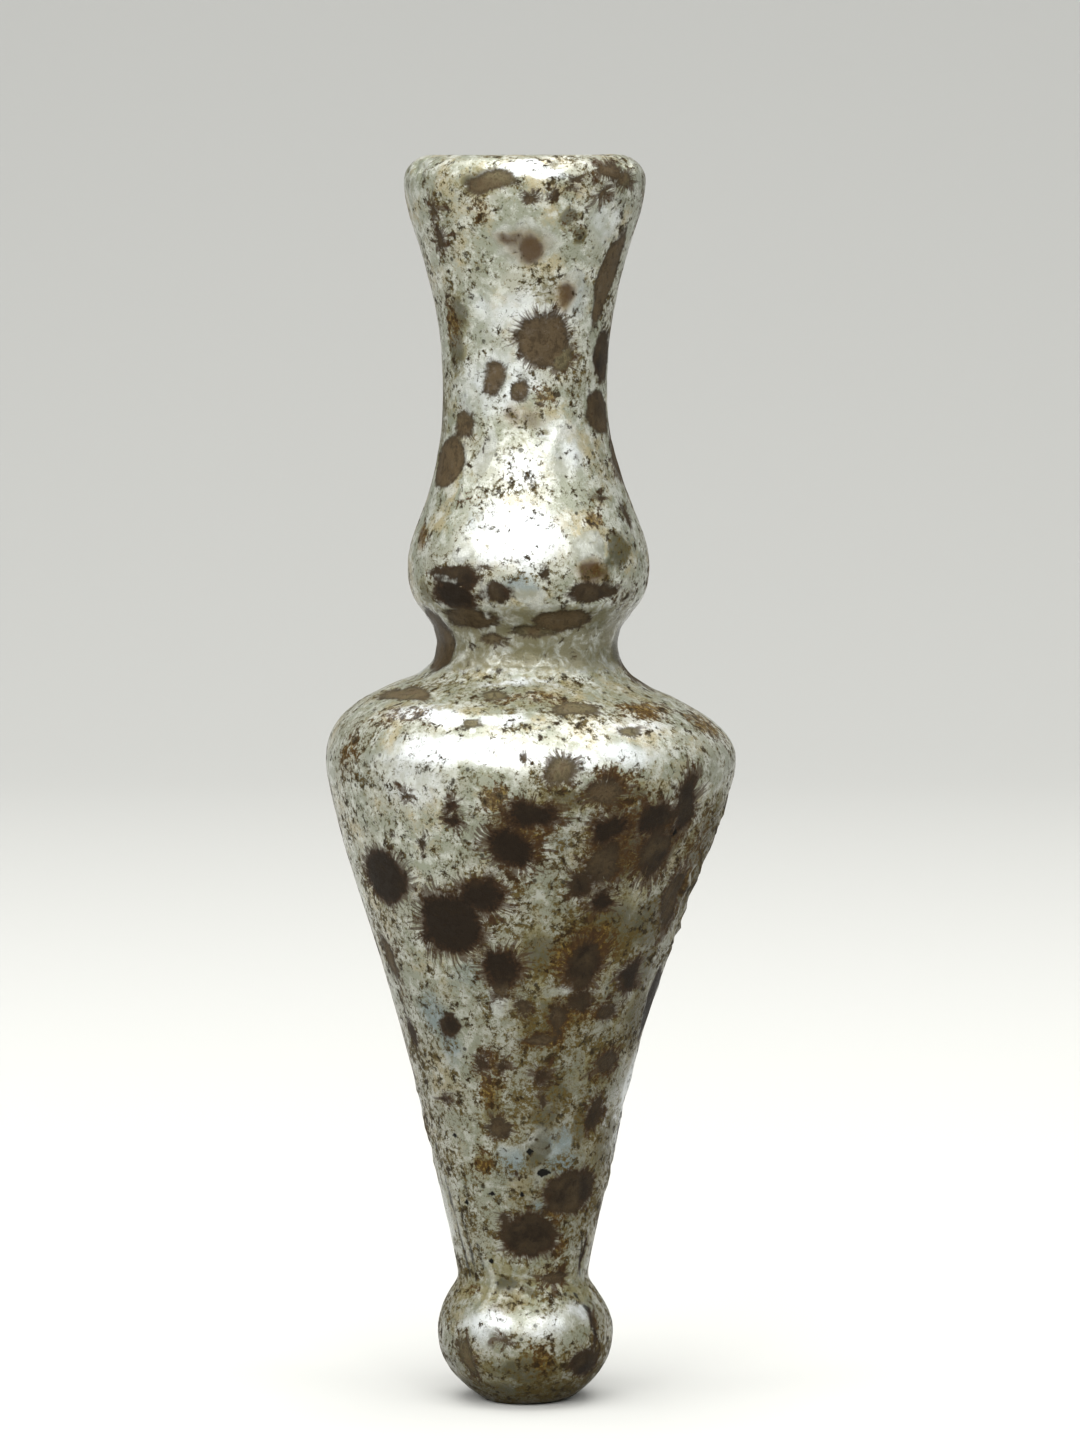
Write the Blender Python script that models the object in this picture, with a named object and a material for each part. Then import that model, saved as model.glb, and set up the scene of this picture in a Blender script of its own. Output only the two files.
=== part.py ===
# A small blown-glass bottle, as an ancient workshop made it: one gather of glass, blown hollow,
# pinched with tongs above the foot knob and below the neck bulge, and folded in at the rim.
# It stands on the flattened underside of its knob. Metres, +Z up, +X to the right of the side
# that is seen first, and the origin at the centre of the flat foot.

import math
from collections import namedtuple

import bmesh
import bpy
from mathutils import Vector

MM = 0.001

HEIGHT = 130.0 * MM

# Heights of the outline's lower turning points above the foot
KNOB_HEIGHT = 7.2 * MM
PINCH_HEIGHT = 13.1 * MM
WAIST_HEIGHT = 28.5 * MM

# Depths of its upper turning points below the rim
TAPER_DEPTH = 80.0 * MM
SHOULDER_DEPTH = 62.8 * MM
SLOPE_DEPTH = 56.1 * MM
COLLAR_DEPTH = 50.8 * MM
BULGE_DEPTH = 43.1 * MM
SWELL_DEPTH = 35.5 * MM
NECK_DEPTH = 24.8 * MM
FLARE_DEPTH = 9.9 * MM
LIP_DEPTH = 2.7 * MM

# Outer radii at those points
FOOT_RADIUS = 4.4 * MM
KNOB_RADIUS = 9.3 * MM
PINCH_RADIUS = 6.75 * MM
WAIST_RADIUS = 10.05 * MM
TAPER_RADIUS = 16.2 * MM
SHOULDER_RADIUS = 21.43 * MM
SLOPE_RADIUS = 15.7 * MM
COLLAR_RADIUS = 9.36 * MM
BULGE_RADIUS = 12.68 * MM
SWELL_RADIUS = 10.5 * MM
NECK_RADIUS = 8.42 * MM
FLARE_RADIUS = 10.72 * MM
LIP_RADIUS = 12.52 * MM

# The outline's direction at those points, in degrees: 0 points away from the axis, 90 straight up
FOOT_HEADING = 33.0
PINCH_HEADING = 88.0
WAIST_HEADING = 78.5
TAPER_HEADING = 71.3
SLOPE_HEADING = 153.0
SWELL_HEADING = 110.5
FLARE_HEADING = 73.5
STRAIGHT_UP = 90.0

# The rim is folded inwards: its crest stands this far inside the lip's widest ring
RIM_FOLD = 3.0 * MM
MOUTH_RADIUS = 8.6 * MM
MOUTH_DROP = 1.2 * MM
FOLD_UNDERCUT_HEADING = 292.0

# Thickness of the glass, thicker where tongs gathered it
WALL = 2.0 * MM
SHOULDER_WALL = 1.8 * MM
FLOOR_WALL = 2.8 * MM
KNOB_WALL = 2.3 * MM
PINCH_WALL = 2.2 * MM
COLLAR_WALL = 2.4 * MM

# How far each ring's centre stands to the right of the foot's, because hot glass wanders
PINCH_LEAN = -0.30 * MM
WAIST_LEAN = -0.40 * MM
TAPER_LEAN = -0.15 * MM
SHOULDER_LEAN = 0.55 * MM
COLLAR_LEAN = 0.15 * MM
BULGE_LEAN = 0.35 * MM
LIP_LEAN = -0.10 * MM
UPRIGHT = 0.0

# The shoulder sags to the right, by this angle, over this height each way
SHOULDER_SAG = math.radians(2.5)
SAG_REACH = 9.0 * MM

# How far the curve follows a turning point's heading before or after it, as a share of the
# straight distance to the next point: the larger the share, the rounder the turn
CREASE = 0.05
TIGHT = 0.13
EVEN = 0.34
ROUND = 0.41
FULL = 0.48

SIDES = 56
RIM_RINGS = 4
UNDERCUT_RINGS = 3
INNER_STRIDE = 2
MERGE_DISTANCE = 0.001 * MM
CREASE_ANGLE = math.radians(50.0)

TAPER_HEIGHT = HEIGHT - TAPER_DEPTH
SHOULDER_HEIGHT = HEIGHT - SHOULDER_DEPTH
SLOPE_HEIGHT = HEIGHT - SLOPE_DEPTH
COLLAR_HEIGHT = HEIGHT - COLLAR_DEPTH
BULGE_HEIGHT = HEIGHT - BULGE_DEPTH
SWELL_HEIGHT = HEIGHT - SWELL_DEPTH
NECK_HEIGHT = HEIGHT - NECK_DEPTH
FLARE_HEIGHT = HEIGHT - FLARE_DEPTH
LIP_HEIGHT = HEIGHT - LIP_DEPTH

# A turning point of the outline. rings says how many rings of faces lead up to the next point.
Turn = namedtuple("Turn", "radius height heading reach_in reach_out wall lean rings")

TURNS = [
    Turn(FOOT_RADIUS, 0.0, FOOT_HEADING, EVEN, EVEN, FLOOR_WALL, UPRIGHT, 5),
    Turn(KNOB_RADIUS, KNOB_HEIGHT, STRAIGHT_UP, ROUND, FULL, KNOB_WALL, UPRIGHT, 5),
    Turn(PINCH_RADIUS, PINCH_HEIGHT, PINCH_HEADING, TIGHT, CREASE, PINCH_WALL, PINCH_LEAN, 4),
    Turn(WAIST_RADIUS, WAIST_HEIGHT, WAIST_HEADING, EVEN, EVEN, WALL, WAIST_LEAN, 4),
    Turn(TAPER_RADIUS, TAPER_HEIGHT, TAPER_HEADING, EVEN, EVEN, WALL, TAPER_LEAN, 5),
    Turn(SHOULDER_RADIUS, SHOULDER_HEIGHT, STRAIGHT_UP, TIGHT, ROUND, SHOULDER_WALL, SHOULDER_LEAN, 5),
    Turn(SLOPE_RADIUS, SLOPE_HEIGHT, SLOPE_HEADING, EVEN, EVEN, WALL, SHOULDER_LEAN, 5),
    Turn(COLLAR_RADIUS, COLLAR_HEIGHT, STRAIGHT_UP, ROUND, ROUND, COLLAR_WALL, COLLAR_LEAN, 5),
    Turn(BULGE_RADIUS, BULGE_HEIGHT, STRAIGHT_UP, FULL, ROUND, WALL, BULGE_LEAN, 4),
    Turn(SWELL_RADIUS, SWELL_HEIGHT, SWELL_HEADING, EVEN, EVEN, WALL, BULGE_LEAN, 3),
    Turn(NECK_RADIUS, NECK_HEIGHT, STRAIGHT_UP, EVEN, EVEN, WALL, UPRIGHT, 4),
    Turn(FLARE_RADIUS, FLARE_HEIGHT, FLARE_HEADING, EVEN, EVEN, WALL, LIP_LEAN, 3),
    Turn(LIP_RADIUS, LIP_HEIGHT, STRAIGHT_UP, EVEN, EVEN, WALL, LIP_LEAN, 0),
]


def heading_vector(degrees):
    """A unit direction in the outline's plane, as (away from the axis, up)."""
    angle = math.radians(degrees)
    return Vector((math.cos(angle), math.sin(angle)))


def curve(start, start_handle, end_handle, end, steps):
    """The points of a cubic curve after its start, with the start left out."""
    points = []
    for step in range(1, steps + 1):
        t = step / steps
        s = 1.0 - t
        points.append(
            s**3 * start
            + 3.0 * s**2 * t * start_handle
            + 3.0 * s * t**2 * end_handle
            + t**3 * end
        )
    return points


def outer_side():
    """The outside from the foot's edge to the lip's widest ring, each point with its wall."""
    foot = TURNS[0]
    points = [Vector((foot.radius, foot.height))]
    walls = [foot.wall]
    for a, b in zip(TURNS, TURNS[1:]):
        start = Vector((a.radius, a.height))
        end = Vector((b.radius, b.height))
        span = (end - start).length
        points += curve(
            start,
            start + heading_vector(a.heading) * a.reach_out * span,
            end - heading_vector(b.heading) * b.reach_in * span,
            end,
            a.rings,
        )
        walls += [a.wall + (b.wall - a.wall) * ring / a.rings for ring in range(1, a.rings + 1)]
    return points, walls


def quarter(centre, along, up, start_degrees):
    """A quarter of an ellipse about centre, with its first point left out."""
    points = []
    for step in range(1, RIM_RINGS + 1):
        angle = math.radians(start_degrees + 90.0 * step / RIM_RINGS)
        points.append(centre + Vector((along * math.cos(angle), up * math.sin(angle))))
    return points


def rim():
    """Over the folded rim, from the lip's widest ring to the inside of the mouth."""
    crest = LIP_RADIUS - RIM_FOLD
    outside = quarter(Vector((crest, LIP_HEIGHT)), RIM_FOLD, LIP_DEPTH, 0.0)
    mouth = Vector((crest, HEIGHT - MOUTH_DROP))
    inside = quarter(mouth, crest - MOUTH_RADIUS, MOUTH_DROP, 90.0)
    return outside + inside


def offset_inwards(outside, walls, index):
    """The point of the inside that lies square behind a point of the outside."""
    along = (outside[index + 1] - outside[index - 1]).normalized()
    inwards = Vector((-along.y, along.x))
    return outside[index] + inwards * walls[index]


def undercut(top, next_down):
    """From the inside of the mouth back under the folded rim, to where the wall's inside starts."""
    nose = Vector((MOUTH_RADIUS, HEIGHT - MOUTH_DROP))
    handle = (top - nose).length * ROUND
    down_the_flare = (top - next_down).normalized()
    return curve(
        nose,
        nose + heading_vector(FOLD_UNDERCUT_HEADING) * handle,
        top + down_the_flare * handle,
        top,
        UNDERCUT_RINGS,
    )


def inner_side(outside, walls):
    """The inside from under the folded rim down to the edge of the floor."""
    rings_below_flare = sum(turn.rings for turn in TURNS if turn.height < FLARE_HEIGHT)
    offsets = []
    for index in range(rings_below_flare, 0, -INNER_STRIDE):
        point = offset_inwards(outside, walls, index)
        if not offsets or point.y < offsets[-1].y:
            offsets.append(point)
    floor_edge = Vector((FOOT_RADIUS, FLOOR_WALL))
    return undercut(offsets[0], offsets[1]) + offsets[1:] + [floor_edge]


def profile():
    """The whole section from the foot's centre, up the outside, over the rim and down inside."""
    outside, walls = outer_side()
    foot_centre = Vector((0.0, 0.0))
    floor_centre = Vector((0.0, FLOOR_WALL))
    return [foot_centre] + outside + rim() + inner_side(outside, walls) + [floor_centre]


def smooth_share(value):
    """0 to 1 with a soft start and end."""
    t = min(max(value, 0.0), 1.0)
    return t * t * (3.0 - 2.0 * t)


def lean_at(height):
    """How far the bottle's centre stands to the right at a height."""
    for a, b in zip(TURNS, TURNS[1:]):
        if height <= b.height:
            share = smooth_share((height - a.height) / (b.height - a.height))
            return a.lean + (b.lean - a.lean) * share
    return LIP_LEAN


def sag_at(height):
    """How steeply the glass falls to the right at a height, as a slope."""
    away = abs(height - SLOPE_HEIGHT) / SAG_REACH
    return math.tan(SHOULDER_SAG) * smooth_share(1.0 - away)


def turned_glass():
    """The section spun about the axis into one closed skin."""
    mesh = bmesh.new()
    corners = [mesh.verts.new((point.x, 0.0, point.y)) for point in profile()]
    edges = [mesh.edges.new(pair) for pair in zip(corners, corners[1:])]
    bmesh.ops.spin(
        mesh,
        geom=corners + edges,
        cent=(0.0, 0.0, 0.0),
        axis=(0.0, 0.0, 1.0),
        angle=2.0 * math.pi,
        steps=SIDES,
        use_merge=True,
    )
    bmesh.ops.remove_doubles(mesh, verts=mesh.verts, dist=MERGE_DISTANCE)
    bmesh.ops.recalc_face_normals(mesh, faces=mesh.faces)
    return mesh


def let_it_wander(mesh):
    """The small lean and sag of glass that was shaped by hand."""
    for corner in mesh.verts:
        height = corner.co.z
        corner.co.z -= corner.co.x * sag_at(height)
        corner.co.x += lean_at(height)


def weathered_glass():
    """Silvery white decay on glass that has lost its shine."""
    material = bpy.data.materials.new("weathered_glass")
    material.use_nodes = True
    shader = material.node_tree.nodes["Principled BSDF"]
    shader.inputs["Base Color"].default_value = (0.55, 0.54, 0.47, 1.0)
    shader.inputs["Roughness"].default_value = 0.32
    shader.inputs["Metallic"].default_value = 0.15
    return material


def bottle():
    """The bottle, one hollow solid with an open mouth."""
    glass = turned_glass()
    let_it_wander(glass)
    mesh = bpy.data.meshes.new("bottle")
    glass.to_mesh(mesh)
    glass.free()
    mesh.materials.append(weathered_glass())
    mesh.shade_smooth()
    mesh.set_sharp_from_angle(angle=CREASE_ANGLE)
    made = bpy.data.objects.new("bottle", mesh)
    bpy.context.scene.collection.objects.link(made)
    return made


for old in list(bpy.data.objects):
    bpy.data.objects.remove(old, do_unlink=True)
bottle()
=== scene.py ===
# %% [markdown]
# # A small ancient glass bottle
#
# The real bottle was blown from one gather of glass. Lying in the ground turned its skin into
# thin silvery layers, with dark round stains where the layers gave way. The solid already has the
# right form, so this lesson leaves it where it stands and dresses it: a finer skin over the same
# form, small unevenness in the glass, the stains placed one by one, and one finish that paints
# them all.

# %% Load the solid
import math
from collections import namedtuple

import bmesh
import bpy
import numpy as np
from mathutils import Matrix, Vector, noise


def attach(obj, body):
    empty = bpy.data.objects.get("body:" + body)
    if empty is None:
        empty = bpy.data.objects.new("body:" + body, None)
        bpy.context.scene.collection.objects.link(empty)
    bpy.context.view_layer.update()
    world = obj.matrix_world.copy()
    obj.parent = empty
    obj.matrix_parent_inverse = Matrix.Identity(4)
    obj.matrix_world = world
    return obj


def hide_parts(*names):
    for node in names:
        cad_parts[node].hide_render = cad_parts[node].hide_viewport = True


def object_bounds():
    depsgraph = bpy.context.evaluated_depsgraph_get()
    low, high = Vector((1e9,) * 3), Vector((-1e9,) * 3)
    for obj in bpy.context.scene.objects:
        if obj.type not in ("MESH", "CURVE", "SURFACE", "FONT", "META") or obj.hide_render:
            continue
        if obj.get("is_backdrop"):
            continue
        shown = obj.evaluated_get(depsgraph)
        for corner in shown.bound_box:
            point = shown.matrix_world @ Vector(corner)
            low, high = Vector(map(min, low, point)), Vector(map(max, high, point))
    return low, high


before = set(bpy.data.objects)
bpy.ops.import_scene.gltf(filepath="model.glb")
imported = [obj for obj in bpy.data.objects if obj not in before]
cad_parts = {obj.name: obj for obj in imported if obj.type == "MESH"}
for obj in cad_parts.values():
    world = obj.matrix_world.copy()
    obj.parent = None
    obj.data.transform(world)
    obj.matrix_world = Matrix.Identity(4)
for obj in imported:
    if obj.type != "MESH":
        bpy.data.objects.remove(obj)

MM = 0.001
cad_low, cad_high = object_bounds()
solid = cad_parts["bottle"]
print("bottle, in mm:", [round(side / MM, 1) for side in cad_high - cad_low])

# %% [markdown]
# The bottle is seen from in front, with the eye level with its rim and looking slightly down, so
# that the mouth is edge on and the foot stands near the bottom of the picture. A long lens from
# a fair distance keeps the outline free of perspective.

# %% Place the camera
EYE_DISTANCE = 700 * MM
EYE_HEIGHT = 130 * MM
EYE_RIGHT = 1.5 * MM
LOOK_DOWN = math.radians(4.79)
LENS = 168.7
NEAREST_SEEN = 10 * MM


def place_camera():
    """A camera in front of the bottle, looking along +Y and a little down."""
    lens = bpy.data.cameras.new("camera")
    lens.lens = LENS
    lens.clip_start = NEAREST_SEEN
    camera = bpy.data.objects.new("camera", lens)
    camera.location = (EYE_RIGHT, -EYE_DISTANCE, EYE_HEIGHT)
    camera.rotation_euler = (math.radians(90.0) - LOOK_DOWN, 0.0, 0.0)
    bpy.context.scene.collection.objects.link(camera)
    bpy.context.scene.camera = camera


place_camera()

# %% [markdown]
# The solid is made of flat faces. A Subdivision Surface rounds them, but it needs four-sided
# faces in even rows, so the copy's loose triangles are merged and joined in pairs first. Two
# levels give rows about half a millimetre apart, which is fine enough for pits and flakes.

# %% Round a copy of the solid
ROUNDING_LEVELS = 2
MERGE_DISTANCE = 0.001 * MM


def paired_copy(node):
    """A mesh like the node's, with its triangles joined into four-sided faces."""
    shape = bmesh.new()
    shape.from_mesh(node.data)
    bmesh.ops.remove_doubles(shape, verts=shape.verts, dist=MERGE_DISTANCE)
    bmesh.ops.join_triangles(
        shape,
        faces=shape.faces,
        angle_face_threshold=math.pi,
        angle_shape_threshold=math.pi,
    )
    mesh = bpy.data.meshes.new("glass_skin")
    shape.to_mesh(mesh)
    shape.free()
    return mesh


def rounded(mesh):
    """An object with the mesh, rounded for good."""
    piece = bpy.data.objects.new("glass_bottle", mesh)
    bpy.context.scene.collection.objects.link(piece)
    rounding = piece.modifiers.new("rounding", "SUBSURF")
    rounding.levels = ROUNDING_LEVELS
    rounding.render_levels = ROUNDING_LEVELS
    ready = piece.evaluated_get(bpy.context.evaluated_depsgraph_get())
    piece.data = bpy.data.meshes.new_from_object(ready)
    piece.modifiers.clear()
    piece.data.shade_smooth()
    return piece


skin = paired_copy(solid)
print("faces before rounding:", len(skin.polygons))
bottle = rounded(skin)
print("faces after rounding:", len(bottle.data.polygons))

# %% [markdown]
# Everything that follows needs to know where each point of the skin is: its height, its bearing
# round the bottle, and whether it is on the outside or the inside of the wall. A bearing of 0
# faces the camera and grows to the right. Arrays of numbers do this for all points at once.

# %% Measure the skin
UNDERSIDE_BELOW = 3.0
TURNED_OUT = (-0.25, 0.15)


def read_points(mesh):
    """The mesh's points in mm and its normals, one row each."""
    points = np.empty(len(mesh.vertices) * 3)
    mesh.vertices.foreach_get("co", points)
    normals = np.empty(len(mesh.vertices) * 3)
    mesh.vertex_normals.foreach_get("vector", normals)
    return points.reshape(-1, 3) / MM, normals.reshape(-1, 3)


def soft_step(values, start, end):
    """0 below start and 1 above end, with soft ends."""
    share = np.clip((values - start) / (end - start), 0.0, 1.0)
    return share * share * (3.0 - 2.0 * share)


def between(values, low, high, blend):
    """1 between low and high, falling softly to 0 outside them."""
    risen = soft_step(values, low - blend, low + blend)
    return risen * (1.0 - soft_step(values, high - blend, high + blend))


points, normals = read_points(bottle.data)
height = points[:, 2]
bearing = np.degrees(np.arctan2(points[:, 0], -points[:, 1]))
girth = np.linalg.norm(points[:, :2], axis=1)
facing_out = (normals[:, :2] * points[:, :2]).sum(axis=1) / np.maximum(girth, 0.01)
under_foot = (normals[:, 2] < -0.5) & (height < UNDERSIDE_BELOW)
outside = np.where(under_foot, 1.0, soft_step(facing_out, *TURNED_OUT))
print("points:", len(points), "of them outside:", int((outside > 0.5).sum()))

# %% [markdown]
# Blown glass is never a perfect turned form. It wanders by a tenth of a millimetre or so, the
# tongs leave faint rings at the collar, the rim is a little chipped, and on the right side the
# weathered layers have flaked away in steps. Each of these is a distance, in mm, by which a point
# moves along its normal. The inside follows the slow waves, so that the wall keeps its thickness.

# %% Make the glass uneven
WAVES = ((15.0, 0.16), (6.0, 0.07), (2.4, 0.03))
CRUST = ((1.1, 0.035), (0.6, 0.02))
RING_SPACING = 1.7
RING_DEPTH = 0.03
RINGED = (73.0, 84.0)
CHIPS = ((2.6, 1.0), (1.1, 0.5))
CHIP_DEPTH = 0.45
CHIPPED_ABOVE = 127.0
FLAKES = ((1.7, 1.0), (0.7, 0.5))
FLAKE_STEP = 0.11
STEPS_PER_WAVE = 4.0


def waves(layers, shift):
    """Smooth random waves over the points, one layer for each length and depth in mm."""
    total = np.zeros(len(points))
    for number, (length, depth) in enumerate(layers):
        offset = Vector((shift + 31.0 * number, 0.0, 0.0))
        total += depth * np.array([noise.noise(Vector(p) / length + offset) for p in points])
    return total


def flaked_side():
    """How strongly the layers have flaked at each point: mostly on the right, below the shoulder."""
    right = between(height, 44.0, 65.0, 4.0) * between(bearing, 58.0, 100.0, 9.0)
    lower_left = 0.6 * between(height, 20.0, 34.0, 3.0) * between(bearing, -110.0, -68.0, 10.0)
    lower_right = 0.6 * between(height, 22.0, 38.0, 3.0) * between(bearing, 70.0, 105.0, 8.0)
    return np.maximum(np.maximum(right, lower_left), lower_right)


slow = waves(WAVES, 3.0)
fine = waves(CRUST, 200.0)
rings = RING_DEPTH * np.sin(2.0 * math.pi * height / RING_SPACING + 6.0 * slow)
rings *= between(height, *RINGED, 1.5)
chips = -CHIP_DEPTH * soft_step(waves(CHIPS, 400.0), 0.25, 0.75)
chips *= soft_step(height, CHIPPED_ABOVE, CHIPPED_ABOVE + 1.0)
flaking = flaked_side()
flakes = FLAKE_STEP * np.round(waves(FLAKES, 600.0) * STEPS_PER_WAVE) * flaking
relief = slow * (2.0 * outside - 1.0) + (fine + rings + chips + flakes) * outside
print("relief, in mm:", round(relief.min(), 2), "to", round(relief.max(), 2))

# %% [markdown]
# Each stain is a mark with a height and a bearing for its middle, and a width and a height of its
# own, all in mm and degrees. Its distance is measured over the skin, so a mark on the sloping
# shoulder isn't squashed, and the skin is warped a little first, so that no mark is a plain oval.
# The warp is drawn from a fixed seed, so every run gives the same marks. Two marks that meet keep
# a pale seam between them, as the real stains do, which is why the second nearest mark is kept
# too.

# %% Find how deep each point lies in a mark
Mark = namedtuple("Mark", "height bearing wide tall turn edge tone", defaults=(0.0, 0.5, 0.5))
FAR_AWAY = -20.0
WRONG_SIDE = 1000.0
FILLED = 1.6
WARPS = ((3.3, 0.85), (1.4, 0.35))
WARP_SEED = 4


def warped_points():
    """The points, each pushed sideways by smooth random waves, the same ones in every run."""
    noise.seed_set(WARP_SEED)
    pushed = points.copy()
    for length, depth in WARPS:
        pushed += depth * np.array([noise.noise_vector(Vector(p) / length) for p in points])
    return pushed


def seat(mark):
    """The number of the point in a mark's middle, with the directions right, up and out there."""
    across = np.radians((bearing - mark.bearing + 180.0) % 360.0 - 180.0) * girth
    miss = (height - mark.height) ** 2 + across**2 + WRONG_SIDE * (outside < 0.5)
    index = int(np.argmin(miss))
    out = normals[index]
    angle = math.radians(mark.bearing)
    right = np.array((math.cos(angle), math.sin(angle), 0.0))
    up = np.cross(out, right)
    up /= np.linalg.norm(up)
    turn = math.radians(mark.turn)
    turned_right = right * math.cos(turn) + up * math.sin(turn)
    turned_up = up * math.cos(turn) - right * math.sin(turn)
    return index, turned_right, turned_up, out


def half_size(mark):
    """The radius, in mm, of a round mark that covers as much."""
    return math.sqrt(mark.wide * mark.tall) / 2.0


def depth_in(mark):
    """For each point, in mm: how far inside the mark it lies, and its place across and up the mark."""
    index, right, up, out = seat(mark)
    away = warped - warped[index]
    across = away @ right
    along = away @ up
    off = away @ out
    half = half_size(mark)
    squares = (2.0 * across / mark.wide) ** 2 + (2.0 * along / mark.tall) ** 2
    distance = np.sqrt(squares + (off / half / 2.0) ** 2)
    return half * (1.0 - distance), across, along


def spread(marks):
    """A share from 0 to 1 at each point: full in the middle of the marks and fading to their edges."""
    share = np.zeros(len(points))
    for mark in marks:
        depth, _, _ = depth_in(mark)
        filled = np.clip(depth / half_size(mark) * FILLED, 0.0, 1.0)
        share = np.maximum(share, filled * mark.edge)
    return share * outside


def gap_to(lines):
    """For each point, in mm: how far it lies from the nearest of the lines."""
    gap = np.full(len(points), -FAR_AWAY)
    wobbled = (points + warped) / 2.0
    for line in lines:
        corners = [wobbled[seat(Mark(at, around, 1.0, 1.0))[0]] for at, around in line]
        for start, end in zip(corners, corners[1:]):
            along = end - start
            part = np.clip((wobbled - start) @ along / (along @ along), 0.0, 1.0)
            off = wobbled - start - part[:, None] * along
            gap = np.minimum(gap, np.linalg.norm(off, axis=1))
    return np.where(outside > 0.5, gap, -FAR_AWAY)


def store(name, values):
    """Keeps one number for each point of the skin, for the finish to read."""
    layer = bottle.data.attributes.new(name, "FLOAT", "POINT")
    layer.data.foreach_set("value", values.astype(np.float32))


def store_direction(name, rows):
    """Keeps three numbers for each point of the skin."""
    layer = bottle.data.attributes.new(name, "FLOAT_VECTOR", "POINT")
    layer.data.foreach_set("vector", rows.astype(np.float32).ravel())


warped = warped_points()
print("marks are warped by up to", round(float(np.abs(warped - points).max()), 2), "mm")

# %% [markdown]
# The dark stains are what the eye goes to first, so each one is placed one by one, from the rim
# down. The last two numbers say how hairy its edge is, from 0 for smooth to 1 for long fine
# rays, and its tone: 0 is a very dark brown, 1 a lighter greyish brown and 2 olive.

# %% Place the dark stains that show
RIM_AND_NECK_STAINS = [
    Mark(128.2, 46.0, 3.4, 2.0, 10.0, 0.8, 1.0),
    Mark(127.4, 56.0, 3.2, 1.7, -10.0, 0.8, 1.3),
    Mark(126.2, 40.0, 2.4, 1.0, 35.0, 0.8, 1.1),
    Mark(127.6, 24.6, 1.8, 0.8, 25.0, 0.4, 1.0),
    Mark(125.6, 3.4, 1.8, 1.6, 0.0, 0.5, 1.1),
    Mark(126.1, 14.0, 1.3, 1.0, 0.0, 0.4, 0.9),
    Mark(126.4, 21.5, 1.2, 0.9, 30.0, 0.4, 0.9),
    Mark(127.4, -15.0, 5.6, 2.4, 8.0, 0.25, 1.5),
    Mark(124.0, -52.0, 1.2, 2.2, 0.0, 0.8, 0.6),
    Mark(121.2, -51.0, 1.3, 2.6, -15.0, 0.8, 0.6),
    Mark(110.6, 11.0, 6.2, 5.8, 0.0, 0.55, 0.9),
    Mark(108.7, 24.0, 3.4, 3.2, 0.0, 0.7, 1.7),
    Mark(107.2, -22.3, 2.8, 4.4, 6.0, 0.15, 1.1),
    Mark(106.6, -4.4, 2.5, 2.6, 20.0, 0.15, 1.0),
    Mark(117.4, 60.0, 3.2, 11.4, -14.0, 0.1, 1.0),
    Mark(102.1, -47.6, 2.8, 3.3, -10.0, 0.25, 1.1),
    Mark(97.7, -58.0, 5.2, 6.0, -8.0, 0.15, 1.0),
    Mark(109.2, 70.0, 5.0, 5.1, 0.0, 0.2, 0.4),
    Mark(103.0, 65.0, 4.8, 4.6, 5.0, 0.2, 0.7),
    Mark(94.9, 48.4, 1.2, 0.8, 0.0, 0.4, 0.6),
    Mark(92.5, 66.0, 1.4, 2.6, 0.0, 0.4, 0.6),
]
BULGE_AND_COLLAR_STAINS = [
    Mark(86.8, -36.0, 7.2, 3.0, -6.0, 0.3, 0.3),
    Mark(84.9, -38.0, 7.0, 3.4, -8.0, 0.3, 0.0),
    Mark(85.6, -12.3, 3.6, 2.2, -14.0, 0.1, 0.3),
    Mark(82.4, -34.0, 7.4, 3.0, 0.0, 0.3, 0.7),
    Mark(88.0, -19.0, 1.6, 0.6, 0.0, 0.4, 0.8),
    Mark(87.4, 9.5, 1.0, 1.5, 0.0, 0.2, 0.5),
    Mark(88.6, -3.0, 0.8, 0.8, 0.0, 0.2, 0.5),
    Mark(85.2, 33.0, 5.6, 2.6, 0.0, 0.4, 0.5),
    Mark(82.6, 22.0, 6.4, 2.4, 0.0, 0.3, 1.0),
    Mark(81.4, 4.0, 5.0, 1.6, 0.0, 0.3, 1.6),
    Mark(80.4, -20.0, 3.6, 1.6, 0.0, 0.3, 1.3),
    Mark(79.2, -66.0, 6.0, 7.0, 0.0, 0.1, 0.8),
    Mark(75.0, -14.3, 3.0, 2.2, 0.0, 0.3, 1.9),
    Mark(72.5, -17.2, 3.4, 2.0, 0.0, 0.15, 2.0),
    Mark(73.8, 17.6, 5.2, 3.0, 0.0, 0.3, 1.6),
    Mark(74.8, -56.0, 9.4, 3.0, 0.0, 0.3, 1.4),
    Mark(71.5, 34.0, 3.6, 2.0, 0.0, 0.4, 1.9),
]
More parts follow.
